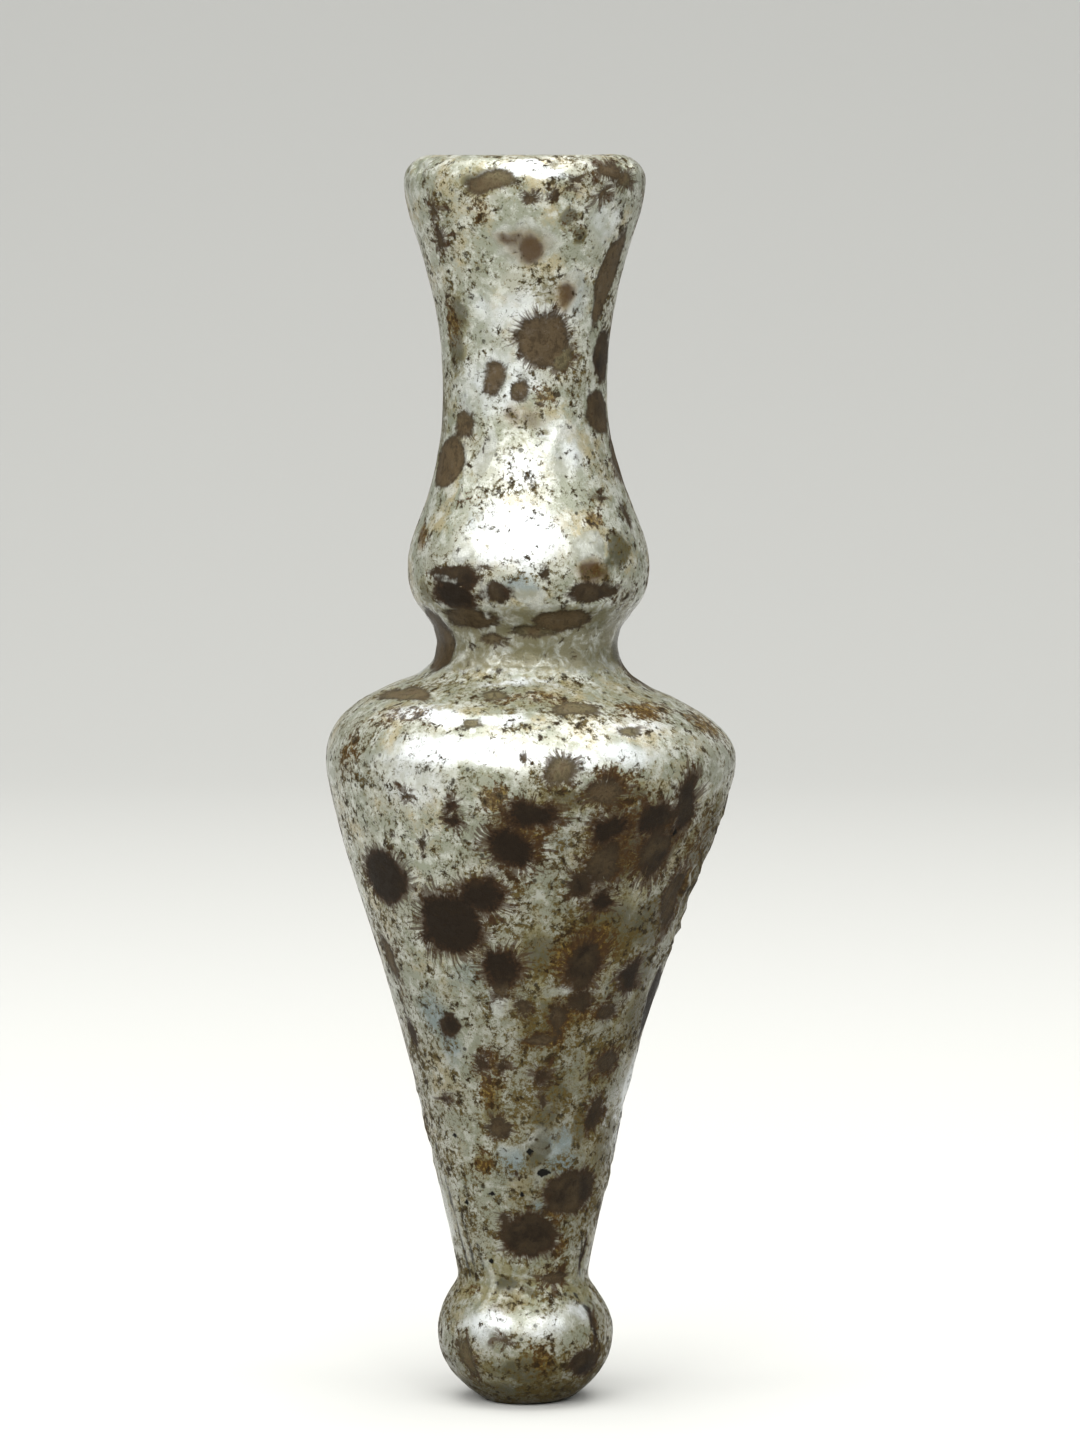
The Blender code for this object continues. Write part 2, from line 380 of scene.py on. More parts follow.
UPPER_BODY_STAINS = [
    Mark(68.9, 0.1, 0.9, 1.1, 0.0, 0.3, 1.2),
    Mark(68.0, 15.1, 0.6, 0.6, 0.0, 0.1, 0.2),
    Mark(68.2, 10.0, 3.2, 2.6, 10.0, 0.5, 1.5),
    Mark(64.4, -20.5, 1.8, 1.5, 0.0, 0.6, 0.0),
    Mark(62.5, -20.7, 2.1, 1.8, 0.0, 0.6, 0.0),
    Mark(59.7, -33.5, 0.9, 1.8, -20.0, 0.4, 0.4),
    Mark(60.4, -44.8, 1.2, 0.9, 0.0, 0.3, 0.4),
    Mark(65.2, -36.0, 2.0, 0.8, -20.0, 0.7, 0.8),
    Mark(63.7, 1.0, 5.6, 3.2, 8.0, 0.9, 0.0),
    Mark(59.5, -4.6, 6.0, 4.2, -12.0, 0.9, 0.0),
    Mark(56.2, -51.0, 7.8, 5.6, 0.0, 0.7, 0.0),
    Mark(65.5, 22.3, 4.4, 2.6, 0.0, 1.0, 1.0),
    Mark(61.7, 25.2, 4.2, 3.2, 0.0, 1.0, 0.1),
    Mark(58.0, 24.0, 4.2, 4.6, 0.0, 1.0, 0.6),
    Mark(62.8, 40.5, 5.6, 3.2, 10.0, 0.9, 0.2),
    Mark(58.6, 44.3, 4.2, 6.0, 0.0, 1.0, 0.4),
    Mark(63.6, 52.0, 3.4, 7.2, -5.0, 0.9, 0.2),
    Mark(55.4, 18.5, 3.2, 2.8, 0.0, 0.7, 0.4),
    Mark(53.9, 27.2, 3.1, 2.4, 0.0, 0.7, 0.2),
    Mark(54.0, 60.0, 3.4, 6.4, 0.0, 0.9, 0.6),
    Mark(54.4, -15.1, 4.8, 4.6, 0.0, 0.9, 0.0),
    Mark(51.8, -28.0, 7.2, 7.0, 0.0, 1.0, 0.0),
]
LOWER_BODY_STAINS = [
    Mark(47.2, -10.0, 4.4, 4.4, 0.0, 0.8, 0.0),
    Mark(44.9, -10.0, 1.2, 2.4, 15.0, 0.6, 0.9),
    Mark(47.8, 24.0, 4.0, 5.2, 0.0, 1.0, 0.3),
    Mark(45.4, 48.0, 4.0, 3.6, 25.0, 0.6, 0.2),
    Mark(42.7, -1.2, 1.8, 2.0, 0.0, 0.5, 0.6),
    Mark(43.0, 25.0, 3.8, 2.2, -10.0, 0.5, 0.4),
    Mark(42.2, 38.4, 3.4, 2.0, 0.0, 0.6, 0.6),
    Mark(41.8, 13.6, 2.0, 2.2, 0.0, 0.5, 0.7),
    Mark(39.4, 8.0, 4.4, 1.6, 0.0, 0.5, 0.8),
    Mark(36.8, 46.0, 3.6, 2.4, 10.0, 0.6, 0.7),
    Mark(37.0, -22.7, 1.8, 2.0, 0.0, 0.5, 0.4),
    Mark(42.6, 78.0, 4.4, 9.0, 0.0, 0.1, 0.0),
    Mark(47.6, -66.0, 2.6, 5.0, 6.0, 0.4, 1.1),
    Mark(40.0, -65.0, 2.2, 3.8, 6.0, 0.3, 0.3),
    Mark(41.0, -36.5, 3.2, 3.4, 0.0, 0.05, 0.2),
    Mark(36.9, -11.2, 1.6, 1.2, 0.0, 0.6, 0.4),
    Mark(34.8, 8.8, 1.6, 1.5, 0.0, 0.7, 0.3),
    Mark(33.2, -47.8, 1.5, 1.2, 0.0, 0.5, 0.3),
    Mark(32.9, 10.0, 1.0, 1.9, 30.0, 0.5, 0.7),
    Mark(31.6, 43.0, 2.6, 4.0, 0.0, 0.6, 0.3),
    Mark(30.6, -15.1, 3.1, 2.6, 35.0, 0.5, 0.7),
    Mark(25.4, -6.3, 1.9, 0.5, 15.0, 0.3, 0.6),
    Mark(22.8, 30.5, 6.8, 4.5, 8.0, 0.45, 0.35),
    Mark(20.9, -15.2, 1.8, 1.1, 0.0, 0.5, 0.6),
    Mark(18.1, 2.5, 6.2, 5.0, -6.0, 0.5, 0.3),
    Mark(15.9, 60.0, 0.9, 3.6, 0.0, 0.3, 0.0),
    Mark(13.6, 23.7, 2.6, 1.4, 0.0, 0.8, 1.1),
    Mark(8.0, 53.4, 0.7, 4.2, -8.0, 0.8, 0.4),
    Mark(7.4, -13.2, 1.4, 0.9, 0.0, 0.5, 1.2),
    Mark(5.0, 45.0, 4.2, 3.6, 8.0, 0.4, 0.3),
    Mark(5.2, -44.1, 2.0, 4.2, 10.0, 0.5, 1.5),
]
DARK_STAINS = RIM_AND_NECK_STAINS + BULGE_AND_COLLAR_STAINS + UPPER_BODY_STAINS + LOWER_BODY_STAINS
PITS = [
    Mark(27.9, 2.4, 1.1, 0.9),
    Mark(25.1, 10.6, 1.3, 0.8, -20.0),
    Mark(22.9, -22.4, 0.8, 0.6, 30.0),
    Mark(21.1, -44.5, 0.8, 0.8),
    Mark(15.3, -29.4, 0.7, 0.8),
    Mark(23.1, -2.3, 0.6, 0.8),
    Mark(29.0, -46.0, 0.7, 0.7),
    Mark(60.8, 50.0, 0.7, 0.7),
]
print("dark stains in front:", len(DARK_STAINS), "and pits:", len(PITS))

# %% [markdown]
# Around and between the stains lie softer marks. Brown films are thin places in the silver, rust
# gathers in loose crowds of small blots, amber glows where the glass itself shows through, the
# cloudy panes are smooth and grey because a layer has come off whole, and a few places have the
# blue of opal. The bright places are painted highlights: where the lights gleam, the pale skin is
# painted whiter and with fewer specks. For these marks the sixth number is the strength.

# %% Place the softer marks
FILMS = [
    Mark(127.4, -20.0, 7.0, 4.2, 0.0, 0.9),
    Mark(125.4, -46.0, 4.0, 2.6, 0.0, 0.6),
    Mark(123.6, 21.4, 3.4, 3.0, 0.0, 1.0),
    Mark(121.8, 29.3, 2.2, 2.6, 0.0, 1.0),
    Mark(114.0, -50.0, 5.4, 5.2, 0.0, 1.0),
    Mark(110.1, -56.0, 4.0, 7.0, 0.0, 1.0),
    Mark(116.0, 14.0, 4.0, 3.4, 0.0, 0.6),
    Mark(102.0, -74.0, 3.0, 12.0, 0.0, 0.7),
    Mark(102.0, 8.0, 4.4, 2.0, 0.0, 0.6),
    Mark(85.0, -60.0, 5.0, 6.0, 0.0, 0.7),
    Mark(60.0, 38.0, 17.0, 12.0, 0.0, 1.0),
    Mark(52.0, 32.0, 15.0, 10.0, 0.0, 0.9),
    Mark(57.0, 72.0, 14.0, 22.0, 0.0, 1.0),
    Mark(64.8, 14.0, 9.0, 4.0, 0.0, 0.8),
    Mark(65.0, 30.0, 12.0, 6.0, 0.0, 0.8),
    Mark(48.0, 8.0, 8.0, 8.5, 0.0, 0.9),
    Mark(50.0, 20.0, 8.0, 8.0, 0.0, 0.8),
    Mark(61.6, -4.0, 8.0, 8.0, 0.0, 0.7),
    Mark(41.4, 10.0, 12.0, 7.0, 0.0, 0.8),
    Mark(37.0, 44.0, 8.0, 7.0, 0.0, 0.8),
    Mark(41.0, 66.0, 12.0, 12.0, 0.0, 0.9),
    Mark(28.0, 62.0, 8.0, 14.0, 0.0, 0.7),
    Mark(32.4, -18.6, 3.6, 6.4, 0.0, 0.9),
    Mark(25.9, -26.4, 3.0, 3.4, 0.0, 0.7),
    Mark(13.4, -14.5, 4.0, 2.6, 0.0, 1.0),
    Mark(12.4, 4.0, 5.0, 2.4, 0.0, 0.8),
    Mark(11.0, -11.9, 6.0, 2.0, 0.0, 0.4),
    Mark(12.4, -50.0, 3.0, 2.4, 0.0, 0.5),
    Mark(4.4, 0.0, 12.0, 5.0, 0.0, 0.9),
]
RUST = [
    Mark(124.0, -22.6, 4.0, 3.4, 20.0, 0.6),
    Mark(105.6, 15.0, 3.4, 3.4, 0.0, 0.9),
    Mark(113.0, -56.0, 4.0, 8.0, 0.0, 0.7),
    Mark(123.0, 24.0, 4.0, 3.4, 0.0, 0.6),
    Mark(92.9, 39.0, 4.0, 2.6, 0.0, 0.9),
    Mark(64.6, -9.0, 4.4, 5.0, 0.0, 1.0),
    Mark(60.8, -3.0, 8.4, 8.0, 0.0, 0.8),
    Mark(57.0, -2.0, 8.0, 5.0, 0.0, 0.5),
    Mark(66.5, 26.0, 9.0, 5.0, 0.0, 0.7),
    Mark(60.5, 34.0, 15.0, 14.0, 0.0, 0.7),
    Mark(57.0, 66.0, 8.0, 16.0, 0.0, 0.7),
    Mark(48.4, 22.0, 10.0, 8.0, 0.0, 1.0),
    Mark(42.6, 15.0, 4.0, 4.0, 0.0, 1.0),
    Mark(42.6, 31.0, 8.0, 3.6, 0.0, 1.0),
    Mark(39.3, 10.5, 8.0, 3.0, 0.0, 1.0),
    Mark(36.5, 46.0, 5.6, 4.2, 0.0, 1.0),
    Mark(36.6, -21.0, 4.0, 4.2, 0.0, 0.9),
    Mark(33.6, -19.0, 4.0, 6.0, 0.0, 0.9),
    Mark(43.5, -63.0, 4.6, 4.4, 0.0, 0.9),
    Mark(48.0, -62.0, 4.0, 5.0, 0.0, 0.6),
    Mark(25.9, -26.4, 3.0, 4.4, 0.0, 0.7),
    Mark(20.0, 23.9, 3.0, 2.4, -20.0, 1.0),
    Mark(17.0, 30.0, 2.6, 3.6, 0.0, 0.9),
    Mark(13.6, 20.0, 5.0, 3.0, 0.0, 0.9),
    Mark(12.2, -48.7, 3.0, 2.4, 0.0, 0.5),
    Mark(6.0, 10.2, 4.0, 5.4, 0.0, 0.7),
    Mark(73.4, 52.0, 12.0, 5.0, 0.0, 1.0),
    Mark(71.4, 75.0, 10.0, 8.0, 0.0, 1.0),
    Mark(72.7, -44.0, 12.0, 5.0, 0.0, 0.6),
    Mark(74.8, 2.0, 13.0, 4.0, 0.0, 0.8),
    Mark(69.0, -62.0, 7.0, 9.0, 0.0, 0.6),
    Mark(90.6, -62.0, 3.0, 4.0, 0.0, 0.8),
    Mark(95.0, -40.0, 4.0, 3.0, 0.0, 0.5),
    Mark(84.6, 58.0, 5.0, 5.0, 0.0, 0.7),
]
AMBER = [
    Mark(121.1, 0.0, 8.4, 4.6, 0.0, 0.6),
    Mark(120.9, 4.4, 4.0, 4.6, -20.0, 1.0),
    Mark(121.3, -9.0, 6.0, 2.6, 0.0, 0.85),
    Mark(115.7, 24.6, 3.8, 4.8, 0.0, 1.0),
    Mark(103.7, -7.0, 3.0, 3.2, 0.0, 0.8),
    Mark(103.4, 0.0, 6.4, 3.8, 0.0, 0.6),
    Mark(87.3, 31.0, 5.0, 4.0, 10.0, 1.0),
    Mark(90.4, -66.0, 2.4, 4.0, 0.0, 0.9),
    Mark(11.0, -12.0, 7.0, 3.0, 0.0, 0.4),
]
PANES = [
    Mark(121.0, -4.0, 11.0, 6.4, 0.0, 0.9),
    Mark(116.4, 30.0, 4.6, 8.0, -20.0, 0.9),
    Mark(98.8, -27.0, 3.4, 6.4, -10.0, 1.0),
    Mark(98.3, 21.5, 2.6, 4.4, 0.0, 1.0),
    Mark(89.5, -32.0, 4.0, 3.0, 0.0, 1.0),
    Mark(90.0, 34.0, 6.0, 5.6, 0.0, 1.0),
    Mark(85.4, -1.0, 8.0, 3.0, 0.0, 0.9),
    Mark(43.5, -8.9, 2.6, 3.6, 0.0, 0.8),
    Mark(44.0, 14.0, 4.6, 2.6, 0.0, 0.8),
    Mark(29.0, 16.0, 8.0, 8.0, 0.0, 0.6),
    Mark(27.2, -6.3, 4.8, 4.4, 0.0, 0.7),
    Mark(9.1, 28.6, 2.4, 2.6, 0.0, 1.0),
    Mark(8.6, -24.0, 3.0, 3.0, 0.0, 0.9),
]
OLIVE = [
    Mark(89.7, 50.0, 4.6, 4.6, 15.0, 1.0),
    Mark(88.0, 40.0, 5.0, 2.6, 15.0, 0.7),
    Mark(50.8, 54.0, 9.0, 9.0, -12.0, 1.0),
    Mark(46.6, 56.0, 5.0, 6.0, 0.0, 1.0),
    Mark(58.9, 34.0, 4.6, 8.0, 0.0, 0.8),
    Mark(31.6, 11.0, 4.0, 4.0, 20.0, 1.0),
    Mark(28.0, 8.0, 3.0, 5.4, -20.0, 1.0),
    Mark(34.0, 16.0, 5.0, 3.4, 0.0, 0.8),
    Mark(29.4, 34.0, 3.4, 6.0, 0.0, 0.9),
    Mark(39.0, 0.0, 6.0, 3.4, 0.0, 0.7),
    Mark(42.0, 78.0, 6.0, 9.0, 0.0, 1.0),
]
OPAL = [
    Mark(42.4, -44.0, 5.6, 7.4, 0.0, 1.0),
    Mark(38.6, -38.0, 5.6, 5.4, 0.0, 0.9),
    Mark(46.0, -24.0, 7.0, 5.0, 30.0, 0.5),
    Mark(44.0, -12.0, 4.0, 4.0, 0.0, 0.5),
    Mark(43.6, 18.0, 5.0, 2.6, 0.0, 0.5),
    Mark(29.0, 22.0, 5.0, 6.0, 20.0, 1.0),
    Mark(26.4, 25.0, 5.4, 3.8, -10.0, 1.0),
    Mark(26.6, -7.3, 5.6, 4.2, 0.0, 1.0),
    Mark(21.8, 9.0, 3.0, 2.4, 0.0, 0.9),
    Mark(86.2, -1.0, 7.0, 3.0, 0.0, 0.8),
    Mark(93.0, -28.0, 5.0, 6.0, 0.0, 0.4),
    Mark(90.0, 62.0, 2.4, 10.0, 20.0, 0.5),
    Mark(116.6, 36.0, 3.0, 6.0, 0.0, 0.5),
    Mark(66.4, -52.0, 5.0, 3.0, 0.0, 0.4),
    Mark(60.6, 12.0, 4.0, 4.0, 0.0, 0.5),
]
# Painted highlights: patches where the lights gleam, painted whiter and with fewer specks.
PAINTED_HIGHLIGHTS = [
    Mark(91.6, -6.0, 16.0, 11.0, 0.0, 0.8),
    Mark(98.0, -2.4, 9.0, 6.0, 0.0, 0.6),
    Mark(114.0, 0.0, 18.0, 8.0, 0.0, 0.6),
    Mark(107.0, -14.0, 16.0, 12.0, 0.0, 0.5),
    Mark(101.0, 24.0, 9.0, 9.0, 0.0, 0.5),
    Mark(76.2, 0.0, 16.0, 2.0, 0.0, 0.6),
    Mark(72.0, 36.0, 14.0, 4.0, 0.0, 0.6),
    Mark(128.8, 0.0, 16.0, 2.4, 0.0, 1.0),
    Mark(123.0, 44.0, 7.0, 8.0, 0.0, 0.5),
    Mark(70.2, -16.0, 32.0, 5.0, 0.0, 0.8),
    Mark(69.6, 24.0, 22.0, 4.0, 0.0, 0.6),
    Mark(66.0, -34.0, 13.0, 9.0, 0.0, 0.5),
    Mark(73.4, -36.0, 14.0, 4.0, 0.0, 1.0),
    Mark(72.6, -8.0, 9.0, 2.6, 0.0, 0.8),
    Mark(56.0, -38.0, 9.0, 8.0, 0.0, 0.2),
    Mark(9.4, -26.0, 10.0, 6.0, 0.0, 0.6),
    Mark(9.0, 12.0, 9.0, 5.0, 0.0, 0.5),
    Mark(10.4, 42.0, 5.0, 4.0, 0.0, 0.6),
]
print("softer marks in front:", sum(map(len, (FILMS, RUST, AMBER, PANES, OLIVE, OPAL, PAINTED_HIGHLIGHTS))))

# %% [markdown]
# Where two layers meet, their edges stand up as thin pale seams, and low down a few dark folds
# run lengthwise. Each is a line through points on the skin, written as a height and a bearing.

# %% Place the seams and folds
RIDGES = [
    ((83.3, -57.0), (80.9, -47.0), (80.1, -39.0), (78.7, -40.0), (77.7, -50.0), (76.2, -61.0)),
    ((76.2, -61.0), (75.2, -74.0), (74.6, -81.0)),
    ((87.1, -48.0), (86.5, -36.0)),
    ((86.3, -21.0), (84.7, -20.0), (83.0, -22.0)),
    ((88.7, 37.0), (85.9, 56.0), (84.2, 66.0)),
    ((101.1, -46.0), (98.8, -41.0), (95.1, -40.0)),
    ((102.4, 26.0), (100.2, 18.0), (98.9, 14.0), (97.0, 19.0)),
    ((86.3, 55.0), (85.6, 59.0), (84.4, 59.4), (83.7, 55.0), (84.4, 51.0), (85.6, 51.0), (86.3, 55.0)),
    ((56.4, 71.0), (52.0, 70.0), (48.4, 68.0), (46.8, 60.0)),
    ((44.3, 66.0), (39.4, 72.0), (36.6, 60.0)),
    ((21.2, -57.0), (15.4, -51.0)),
    ((15.4, -32.0), (13.0, -28.0), (11.5, -31.0), (10.3, -36.0)),
    ((11.8, 69.0), (9.6, 71.0), (6.8, 65.0)),
]
FOLDS = [
    ((27.0, -68.0), (22.0, -62.0), (17.0, -58.0), (13.6, -54.0)),
    ((20.4, -52.0), (16.6, -49.0), (13.4, -46.0)),
    ((17.4, -40.0), (15.0, -38.0)),
    ((18.6, 52.0), (15.4, 55.0), (13.4, 60.0)),
    ((11.8, 46.0), (10.0, 52.0), (8.6, 50.0), (6.6, 56.0)),
]
print("pale seams:", len(RIDGES), "and dark folds:", len(FOLDS))

# %% [markdown]
# The back wasn't seen, so its marks are drawn by chance, from a fixed seed and in the same sizes
# as in front. Where a mark falls on a narrow part of the bottle it is often left out, so that the
# crowd is as dense there as on the wide body.

# %% Scatter marks round the back
SEED = 7
BACK_BEARINGS = (84.0, 276.0)
MARKED_HEIGHTS = (4.0, 127.0)
BODY_HEIGHTS = (48.0, 74.0)
NARROW_SHARE = 0.5
STRETCHES = (0.8, 1.25)
TURNS = (-40.0, 40.0)
chance = np.random.default_rng(SEED)


def scattered(count, sizes, edges, tones=(0.5, 0.5)):
    """Marks at random round the back, fewer of them where the bottle is narrow."""
    marks = []
    while len(marks) < count:
        at = chance.uniform(*MARKED_HEIGHTS)
        on_body = BODY_HEIGHTS[0] < at < BODY_HEIGHTS[1]
        if not on_body and chance.random() > NARROW_SHARE:
            continue
        size = chance.uniform(*sizes)
        marks.append(
            Mark(
                at,
                chance.uniform(*BACK_BEARINGS),
                size * chance.uniform(*STRETCHES),
                size * chance.uniform(*STRETCHES),
                chance.uniform(*TURNS),
                chance.uniform(*edges),
                chance.uniform(*tones),
            )
        )
    return marks


back_stains = scattered(58, (1.0, 5.6), (0.1, 1.0), (0.0, 1.6))
back_films = scattered(26, (4.0, 14.0), (0.6, 1.0))
back_rust = scattered(30, (4.0, 12.0), (0.6, 1.0))
back_amber = scattered(8, (2.0, 4.5), (0.6, 1.0))
back_panes = scattered(18, (4.0, 9.0), (0.7, 1.0))
back_olive = scattered(8, (3.0, 7.0), (0.6, 1.0))
back_opal = scattered(10, (3.0, 8.0), (0.5, 0.9))
back_pits = scattered(12, (0.6, 1.1), (0.5, 0.5))
# Painted highlights round the back, placed by chance like the other back marks.
back_painted_highlights = scattered(14, (8.0, 16.0), (0.3, 0.9))
softer = (back_films, back_rust, back_amber, back_panes, back_olive, back_opal, back_painted_highlights)
print("at the back:", len(back_stains), "stains and", sum(map(len, softer)), "softer marks")

# %% [markdown]
# Now the marks become numbers on the skin. For the stains the finish needs five: how deep a point
# lies in its stain, how far it is from the seam with the next one, how hairy the stain's edge is,
# the tone, and the direction from the stain's middle, which draws the rays of the hairy edge.
# Some films follow the form and not a mark: the collar, the slope below it and the pinch above the
# foot are brown all round, where dirt settles, and the foot is darkened all round by dirt and painted
# shade. A thin brown veil lies over the rest of the skin, thickest on the right; low down and on the
# lower knob the same brown is painted shade, darker towards the bottom.

# %% Write the marks onto the skin
TEETH_PER_MM = 4.0
RAY_STRETCH = 0.25
RAY_SHIFT = 13.0
COLLAR_FILM = (77.0, 84.0)
SLOPE_FILM = (73.0, 77.0)
PINCH_FILM = (11.0, 15.5)
# The foot film is partly dirt and partly painted shade under the knob.
FOOT_DIRT_AND_SHADE = (2.0, 4.5)
BODY_VEIL = (18.0, 66.0)
BROWN_SIDE = (-8.0, 110.0)
# The next two ranges set painted shade: the veil's brown darkens the skin towards the bottom and on
# the lower half of the knob.
LOW_PAINTED_SHADE = (36.0, 60.0)
KNOB_PAINTED_SHADE = (4.0, 8.0)
LEAST_VEIL = 0.1
MOST_VEIL_AND_SHADE = 0.9


def write_stains(marks):
    """Stores what the finish needs of the stains, and returns how deep each point lies."""
    nearest = np.full(len(points), FAR_AWAY)
    second = np.full(len(points), FAR_AWAY)
    rays = np.zeros((len(points), 3))
    hair = np.zeros(len(points))
    tone = np.zeros(len(points))
    for number, mark in enumerate(marks):
        depth, across, along = depth_in(mark)
        closer = depth > nearest
        second = np.where(closer, nearest, np.maximum(second, depth))
        nearest = np.where(closer, depth, nearest)
        reach = np.maximum(np.hypot(across, along), 0.01)
        teeth = TEETH_PER_MM * half_size(mark) / reach
        own_shift = reach * RAY_STRETCH + number * RAY_SHIFT
        rays[closer] = np.stack((across * teeth, along * teeth, own_shift), axis=1)[closer]
        hair[closer] = mark.edge
        tone[closer] = mark.tone
    nearest = np.where(outside > 0.5, nearest, FAR_AWAY)
    store("stain_depth", nearest)
    store("stain_seam", nearest - second)
    store("stain_hair", hair)
    store("stain_tone", tone)
    store_direction("stain_rays", rays)
    return np.minimum(nearest, nearest - second)


def films_and_foot_shade():
    """Brown films that run round the bottle; the one at the foot is dirt and painted shade together.
    """
    collar = 0.6 * between(height, *COLLAR_FILM, 1.0)
    slope = 0.35 * between(height, *SLOPE_FILM, 1.0)
    pinch = 0.45 * between(height, *PINCH_FILM, 1.0)
    # Dirt and painted shade on the underside of the knob.
    foot_dirt_and_shade = 0.9 * (1.0 - soft_step(height, *FOOT_DIRT_AND_SHADE))
    return np.max([collar, slope, pinch, foot_dirt_and_shade], axis=0) * outside


def veil_and_painted_shade():
    """How far the skin has turned brown, little on the left and most on the right, plus painted shade
    that darkens it towards the bottom and on the lower knob.
    """
    brown_side = 0.5 * between(height, *BODY_VEIL, 5.0) * between(bearing, *BROWN_SIDE, 28.0)
    # Painted shade: darker towards the bottom and on the lower knob.
    low = 0.38 * (1.0 - soft_step(height, *LOW_PAINTED_SHADE))
    knob_shade = 0.36 * (1.0 - soft_step(height, *KNOB_PAINTED_SHADE))
    return outside * np.minimum(LEAST_VEIL + brown_side + low + knob_shade, MOST_VEIL_AND_SHADE)


stain_depth = write_stains(DARK_STAINS + back_stains)
ridge_gap = gap_to(RIDGES)
store("ridge_gap", ridge_gap)
store("fold_gap", gap_to(FOLDS))
# The veil carries brown patina and, low down and on the knob, painted shade.
store("veil_and_shade", veil_and_painted_shade())
pit_depth = np.max([depth_in(mark)[0] for mark in PITS + back_pits], axis=0)
pit_depth = np.where(outside > 0.5, pit_depth, FAR_AWAY)
store("pit_depth", pit_depth)
# The film share includes the foot's painted shade.
store("film", np.maximum(spread(FILMS + back_films), films_and_foot_shade()))
store("rust", spread(RUST + back_rust))
store("amber", spread(AMBER + back_amber))
store("pane", np.maximum(spread(PANES + back_panes), between(height, *COLLAR_FILM, 1.0)))
store("olive", spread(OLIVE + back_olive))
store("opal", spread(OPAL + back_opal))
# The painted highlights are kept on the skin for the finish.
store("painted_highlight", spread(PAINTED_HIGHLIGHTS + back_painted_highlights))
store("outside", outside)
print("share of the skin that is stained:", round(float((stain_depth > 0.0).mean()), 3))

# %% [markdown]
# A stain lies slightly below the layers around it, and a pit is a small deep hole. Both are cut
# into the mesh itself, so that they catch the light from every side, and the pale seams stand up
# from it. The flat that the bottle stands on stays as it is.

# %% Move the points
STAIN_SINK = 0.07
PIT_SINK = 0.3
RIDGE_RISE = 0.12
RIDGE_HALF = 0.6
STANDING_BELOW = 0.05


def move_points():
    """Adds the relief, the sunk stains, the pits and the seams along each point's normal."""
    sunk = STAIN_SINK * soft_step(stain_depth, -0.2, 0.4)
    sunk += PIT_SINK * soft_step(pit_depth, -0.1, 0.3)
    sunk -= RIDGE_RISE * (1.0 - soft_step(ridge_gap, 0.0, RIDGE_HALF))
    still = height < STANDING_BELOW
    moved = points + normals * np.where(still, 0.0, relief - sunk)[:, None]
    moved[:, 2] = np.maximum(moved[:, 2], 0.0)
    bottle.data.vertices.foreach_set("co", (moved * MM).ravel())
    bottle.data.update()
    return moved


moved = move_points()
print("lowest point, in mm:", round(float(moved[:, 2].min()), 3))

# %% [markdown]
# A finish is a web of small nodes. To keep it readable, a number that varies over the surface is
# wrapped in a class of its own, so that ordinary sums and products add the Math nodes, and one
# method makes every other kind of node.

# %% Write shader maths as expressions
def linear(red, green, blue):
    """A colour as a picture shows it, 0 to 255, in the linear values that a shader mixes."""
    def undo(part):
        part /= 255.0
        return part / 12.92 if part <= 0.04045 else ((part + 0.055) / 1.055) ** 2.4

    return (undo(red), undo(green), undo(blue), 1.0)


class Varying:
    """A number that varies over the surface."""

    def __init__(self, finish, socket):
        self.finish = finish
        self.socket = socket

    def __add__(self, other):
        return self.finish.maths("ADD", self, other)

    def __radd__(self, other):
        return self.finish.maths("ADD", other, self)

    def __sub__(self, other):
        return self.finish.maths("SUBTRACT", self, other)

    def __rsub__(self, other):
        return self.finish.maths("SUBTRACT", other, self)

    def __mul__(self, other):
        return self.finish.maths("MULTIPLY", self, other)

    def __rmul__(self, other):
        return self.finish.maths("MULTIPLY", other, self)

    def least(self, other):
        return self.finish.maths("MINIMUM", self, other)

    def most(self, other):
        return self.finish.maths("MAXIMUM", self, other)

    def distance_from(self, value):
        return (self - value).most(value - self)

    def rise(self, start, end):
        """0 below start and 1 above end, softly."""
        settings = {"interpolation_type": "SMOOTHSTEP"}
        ends = {"Value": self, "From Min": start, "From Max": end}
        return self.finish.number("ShaderNodeMapRange", settings, ends)


class Finish:
    """A material whose nodes are added one call at a time."""

    def __init__(self, name):
        self.material = bpy.data.materials.new(name)
        self.material.use_nodes = True
        self.tree = self.material.node_tree
        self.shader = self.tree.nodes["Principled BSDF"]

    def node(self, kind, settings, values):
        """Any node: its settings first, then the values or links of its sockets."""
        made = self.tree.nodes.new(kind)
        for name, setting in settings.items():
            setattr(made, name, setting)
        for name, value in values.items():
            self.feed(made.inputs[name], value)
        return made

    def feed(self, socket, value):
        """Links or sets one socket."""
        if isinstance(value, Varying):
            value = value.socket
        if isinstance(value, bpy.types.NodeSocket):
            self.tree.links.new(value, socket)
        else:
            socket.default_value = value

    def number(self, kind, settings, values, output=0):
        return Varying(self, self.node(kind, settings, values).outputs[output])

    def maths(self, operation, first, second):
        return self.number("ShaderNodeMath", {"operation": operation}, {0: first, 1: second})

    def mix(self, share, first, second):
        """A colour between two colours."""
        values = {0: share, 6: first, 7: second}
        return self.node("ShaderNodeMix", {"data_type": "RGBA"}, values).outputs[2]

    def stored(self, name):
        """A number that was kept on the skin."""
        return self.number("ShaderNodeAttribute", {"attribute_name": name}, {}, 2)


# %% [markdown]
# The finish starts from the skin's own place in millimetres, so a pattern's scale is simply how
# many of its blots fit in a millimetre. Noise averages one half and seldom strays past a
# quarter or three quarters, which the edges below allow for.

